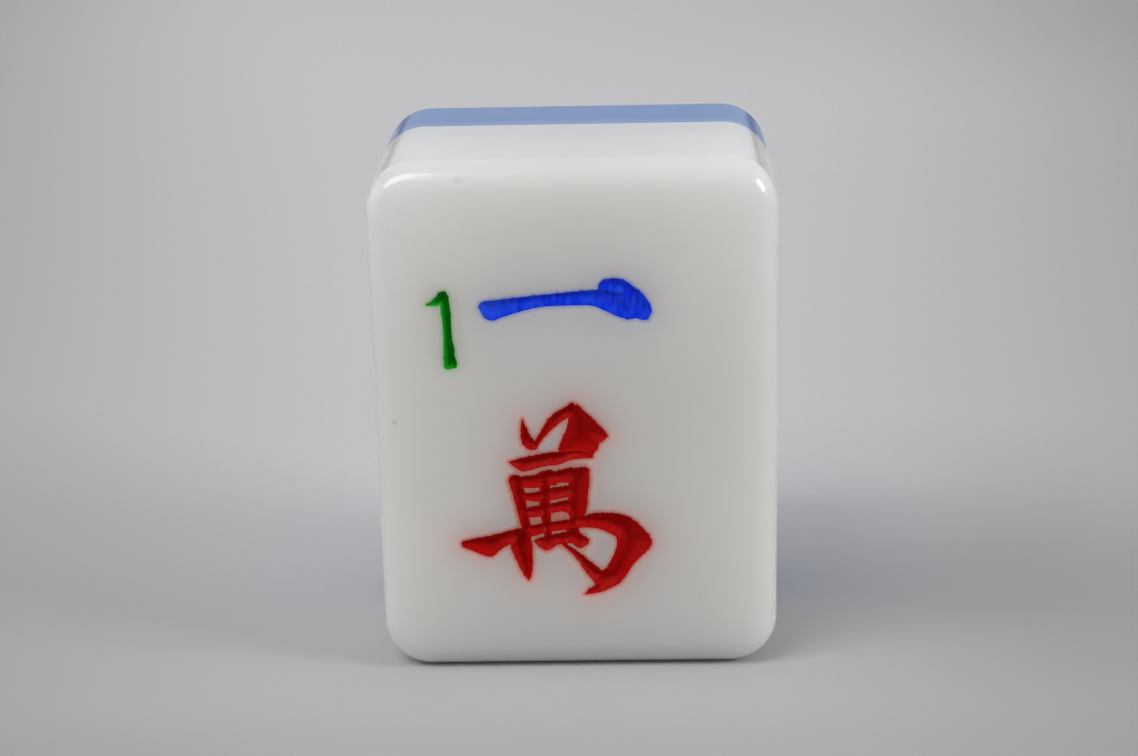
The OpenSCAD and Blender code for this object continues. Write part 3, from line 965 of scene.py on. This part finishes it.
class TILE_OT_front_block(bpy.types.Operator):
    """Builds the white block, with its cuts carved into the front"""

    bl_idname = "tile.front_block"
    bl_label = "Front block"

    def execute(self, context):
        carved = carving()
        tile = context.scene.tile_form
        front = np.stack([carved.points[:, 0], FRONT_Y + carved.depths, carved.points[:, 1]], axis=1)
        sides, numbers = number_rings(edge_rings(FRONT_Y, SEAM_Y, tile)[1:], len(front))
        numbers = [carved.rim, *numbers]
        faces = [tuple(t) for t in carved.triangles]
        for lower, upper in zip(numbers, numbers[1:]):
            faces += [tuple(reversed(face)) for face in ring_faces(lower, upper)]
        faces.append(tuple(reversed(numbers[-1])))
        piece = new_piece(
            "front_block_carved",
            np.vstack([front, sides]),
            faces,
            white_resin(context.scene.tile_finish),
            "front_block",
        )
        near = carved.nearness
        # Nearness to each paint, which the white resin uses for its painted glow round the paint and for how
        # far light sinks in
        nearness_layers = {
            "near_red": np.maximum(near["character_top_paint"], near["character_base_paint"]),
            "near_blue": near["stroke_paint"],
            "near_green": near["digit_paint"],
            "near_paint": np.max(list(near.values()), axis=0),
        }
        for name, values in nearness_layers.items():
            stored = piece.data.attributes.new(name, "FLOAT", "POINT")
            padded = np.concatenate([values, np.zeros(len(sides))])
            stored.data.foreach_set("value", padded.astype(np.float32))
        return {"FINISHED"}


class TILE_OT_back_layer(bpy.types.Operator):
    """Builds the blue layer behind the white block"""

    bl_idname = "tile.back_layer"
    bl_label = "Back layer"

    def execute(self, context):
        rings = edge_rings(BACK_Y, SEAM_Y, context.scene.tile_form)
        points, numbers = number_rings(rings, 0)
        faces = [tuple(reversed(numbers[0])), tuple(numbers[-1])]
        for lower, upper in zip(numbers, numbers[1:]):
            faces += ring_faces(lower, upper)
        new_piece(
            "back_layer_rounded",
            points,
            faces,
            blue_resin(context.scene.tile_finish),
            "back_layer",
        )
        return {"FINISHED"}


def edge_pairs(triangles):
    """Each edge of the triangles once, as a pair of point numbers, and how many triangles share it."""
    pairs = np.vstack([triangles[:, [0, 1]], triangles[:, [1, 2]], triangles[:, [2, 0]]])
    return np.unique(np.sort(pairs, axis=1), axis=0, return_counts=True)


def lay_paint(context, node, finish):
    """Lays paint in one mark's cuts: a closed film that starts at the rims and pools at the bottoms."""
    carved = carving()
    form = context.scene.carving_form
    film = form.film / MM
    triangles = carved.triangles[carved.painted[node]]
    pairs, shared = edge_pairs(triangles)
    # Triangles with all their corners on the rim have no depth to fill
    triangles = triangles[~np.isin(triangles, pairs[shared == 1]).all(axis=1)]
    if not len(triangles):
        raise RuntimeError(f"{node} has no cuts to paint")
    used, local = np.unique(triangles, return_inverse=True)
    triangles = local.reshape(-1, 3)
    points = carved.points[used]
    floor = carved.depths[used]
    pairs, shared = edge_pairs(triangles)
    rim = np.zeros(len(points), bool)
    rim[pairs[shared == 1].ravel()] = True

    # Pooling: the film evens out the floor, so it is thick at the bottom of a cut and thin on a ridge
    even = floor.copy()
    neighbours = np.bincount(pairs.ravel(), minlength=len(points))
    for _ in range(2):
        total = np.bincount(pairs[:, 0], even[pairs[:, 1]], len(points))
        total += np.bincount(pairs[:, 1], even[pairs[:, 0]], len(points))
        even = np.where(rim, floor, (even + total / neighbours) / 2)
    start = form.lip_round / MM * 0.5
    top = np.minimum(even, floor)
    thickness = film * np.clip((floor - start) / (film * 2), 0, 1)
    top = np.where(rim, floor, np.maximum(top - thickness, start * 0.9))
    under = np.where(rim, floor, np.maximum(floor - 0.003, top + 0.001))

    shell_top = np.stack([points[:, 0], FRONT_Y + top, points[:, 1]], axis=1)
    inner = np.flatnonzero(~rim)
    under_number = np.arange(len(points))
    under_number[inner] = len(points) + np.arange(len(inner))
    shell_under = np.stack([points[inner, 0], FRONT_Y + under[inner], points[inner, 1]], axis=1)
    faces = [tuple(t) for t in triangles]
    faces += [tuple(reversed(under_number[t])) for t in triangles]
    piece = new_piece(f"{node}_film", np.vstack([shell_top, shell_under]), faces, finish, node)
    pooled = np.clip((floor - top - film) / film, 0, 1)
    values = np.concatenate([pooled, pooled[inner]]).astype(np.float32)
    piece.data.attributes.new("pooled", "FLOAT", "POINT").data.foreach_set("value", values)
    return piece


class TILE_OT_digit_paint(bpy.types.Operator):
    """Lays the green paint in the small digit"""

    bl_idname = "tile.digit_paint"
    bl_label = "Digit paint"

    def execute(self, context):
        low, high = (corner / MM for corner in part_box("digit_paint"))
        # Lines along the top of the flag and down the stem, beyond which the paint is darkened as painted
        # shade
        flag = (low.x, 0, low.z + 0.845 * (high.z - low.z)), (-0.47, 0, 0.88)
        stem = (low.x + 0.7 * (high.x - low.x), 0, low.z + 0.84 * (high.z - low.z)), (0.998, 0, 0.06)
        colour = tuple(context.scene.tile_finish.green_paint)
        green = cut_paint("Green enamel", shade(colour, 0.9), shade(colour, 1.25), shaded_sides=(flag, stem))
        lay_paint(context, "digit_paint", green)
        return {"FINISHED"}


class TILE_OT_stroke_paint(bpy.types.Operator):
    """Lays the blue paint in the single wide stroke"""

    bl_idname = "tile.stroke_paint"
    bl_label = "Stroke paint"

    def execute(self, context):
        colour = tuple(context.scene.tile_finish.blue_paint)
        dark = (colour[0] * 0.5, colour[1] * 0.55, colour[2] * 0.92)
        pale = (colour[0] * 2.4, colour[1] * 1.3, colour[2])
        blue = cut_paint("Blue enamel", dark, pale, (1, 1, 0.35), BLUE_PALE_SPOTS)
        lay_paint(context, "stroke_paint", blue)
        return {"FINISHED"}


class TILE_OT_character_paint(bpy.types.Operator):
    """Lays the red paint in the two groups of cuts of the large character"""

    bl_idname = "tile.character_paint"
    bl_label = "Character paint"

    def execute(self, context):
        colour = tuple(context.scene.tile_finish.red_paint)
        red = cut_paint("Red enamel", shade(colour, 0.74), shade(colour, 0.88), pale_spots=RED_GLINTS)
        for node in ("character_top_paint", "character_base_paint"):
            lay_paint(context, node, red)
        return {"FINISHED"}


def softbox(name, at, aim, size, power, colour=(1, 1, 1)):
    """A rectangular lamp at a place, aimed at another, with its width and height. In metres and watts."""
    lamp = bpy.data.lights.new(name, "AREA")
    lamp.shape = "RECTANGLE"
    lamp.size, lamp.size_y = size
    lamp.energy = power
    lamp.color = colour
    lamp_object = bpy.data.objects.new(name, lamp)
    lamp_object.location = at
    lamp_object.rotation_euler = (Vector(aim) - Vector(at)).to_track_quat("-Z", "Y").to_euler()
    bpy.context.scene.collection.objects.link(lamp_object)
    return lamp_object


class TILE_OT_studio(bpy.types.Operator):
    """Builds the paper sweep that the tile stands on, the lamps and the camera"""

    bl_idname = "tile.studio"
    bl_label = "Studio"

    def execute(self, context):
        studio = context.scene.studio_form
        self.lay_paper(studio)
        tile_middle = (0, 0, HEIGHT / 2 * MM)
        softbox("Overhead", (0, 0.1, 0.7), tile_middle, (0.9, 0.9), studio.overhead_power)
        softbox("Back", (0, 0.62, 0.33), tile_middle, (1.0, 0.6), studio.back_power, (0.88, 0.905, 1))
        softbox("Key", (-0.33, -0.2, 0.4), (-0.33, 0, 0.02), (0.55, 0.2), studio.key_power)
        softbox("Left", (-0.5, 0.02, 0.15), tile_middle, (0.5, 0.28), studio.left_power)
        softbox("Right", (0.6, 0.05, 0.25), tile_middle, (0.9, 0.5), studio.right_power)
        softbox("Glint", (0.375, -0.14, 0.205), tile_middle, (0.14, 0.14), studio.glint_power)
        room = bpy.data.worlds.new("Room")
        room.use_nodes = True
        background = room.node_tree.nodes["Background"]
        background.inputs["Color"].default_value = (1, 1, 1, 1)
        background.inputs["Strength"].default_value = studio.room_level
        context.scene.world = room
        self.set_camera(context.scene)
        context.scene.view_settings.view_transform = "Standard"
        return {"FINISHED"}

    def lay_paper(self, studio):
        """A wide round sheet that is flat under the tile and turns up at its edge."""
        profile = [(PAPER_FLAT * step / FLAT_RINGS, 0) for step in range(1, FLAT_RINGS + 1)]
        for step in range(1, BEND_RINGS + 1):
            rise = math.radians(90) * step / BEND_RINGS
            reach = PAPER_FLAT + PAPER_BEND * math.sin(rise)
            profile.append((reach, PAPER_BEND * (1 - math.cos(rise))))
        points = [(0, 0, 0)]
        faces = []
        for ring, (radius, height) in enumerate(profile):
            for turn in range(PAPER_TURNS):
                angle = math.tau * turn / PAPER_TURNS
                points.append((radius * math.cos(angle), radius * math.sin(angle), height))
                here = 1 + ring * PAPER_TURNS + turn
                after = 1 + ring * PAPER_TURNS + (turn + 1) % PAPER_TURNS
                if ring == 0:
                    faces.append((0, here, after))
                else:
                    faces.append((here - PAPER_TURNS, here, after, after - PAPER_TURNS))
        mesh = bpy.data.meshes.new("paper_sweep")
        mesh.from_pydata(points, [], faces)
        mesh.shade_smooth()
        mesh.materials.append(paper_sweep(studio))
        paper = bpy.data.objects.new("paper_sweep", mesh)
        bpy.context.scene.collection.objects.link(paper)

    def set_camera(self, scene):
        """The camera of the photograph's view: in front of the tile, a little to its right and above it."""
        lens = bpy.data.cameras.new("Camera")
        lens.sensor_fit = "HORIZONTAL"
        lens.sensor_width = SENSOR_WIDTH
        lens.lens = FOCAL_LENGTH
        lens.clip_start = 0.005
        lens.clip_end = 5
        camera = bpy.data.objects.new("Camera", lens)
        facing = Matrix.Rotation(CAMERA_TURN, 4, "Z") @ Matrix.Rotation(math.pi / 2 - CAMERA_TILT, 4, "X")
        facing = facing @ Matrix.Rotation(CAMERA_ROLL, 4, "Z")
        camera.matrix_world = Matrix.Translation(CAMERA_PLACE) @ facing
        scene.collection.objects.link(camera)
        scene.camera = camera


class TILE_PT_parts(bpy.types.Panel):
    """Lists the pieces of the tile and its studio"""

    bl_label = "Mahjong tile"
    bl_idname = "TILE_PT_parts"
    bl_space_type = "VIEW_3D"
    bl_region_type = "UI"
    bl_category = "Tile"

    def draw(self, context):
        for form in ("tile_form", "carving_form", "tile_finish", "studio_form"):
            group = getattr(context.scene, form)
            box = self.layout.box()
            for name in group.__annotations__:
                box.prop(group, name)
        for build in OPERATORS:
            self.layout.operator(build.bl_idname)


GROUPS = {
    "tile_form": TileForm,
    "carving_form": CarvingForm,
    "tile_finish": TileFinish,
    "studio_form": StudioForm,
}
OPERATORS = (
    TILE_OT_front_block,
    TILE_OT_back_layer,
    TILE_OT_digit_paint,
    TILE_OT_stroke_paint,
    TILE_OT_character_paint,
    TILE_OT_studio,
)


def register():
    for group in GROUPS.values():
        bpy.utils.register_class(group)
    for name, group in GROUPS.items():
        setattr(bpy.types.Scene, name, PointerProperty(type=group))
    for shown in (*OPERATORS, TILE_PT_parts):
        bpy.utils.register_class(shown)


def unregister():
    for shown in (TILE_PT_parts, *reversed(OPERATORS)):
        bpy.utils.unregister_class(shown)
    for name, group in reversed(GROUPS.items()):
        delattr(bpy.types.Scene, name)
        bpy.utils.unregister_class(group)


def main():
    register()
    bpy.ops.tile.front_block()
    bpy.ops.tile.back_layer()
    bpy.ops.tile.digit_paint()
    bpy.ops.tile.stroke_paint()
    bpy.ops.tile.character_paint()
    bpy.ops.tile.studio()


if __name__ == "__main__":
    main()
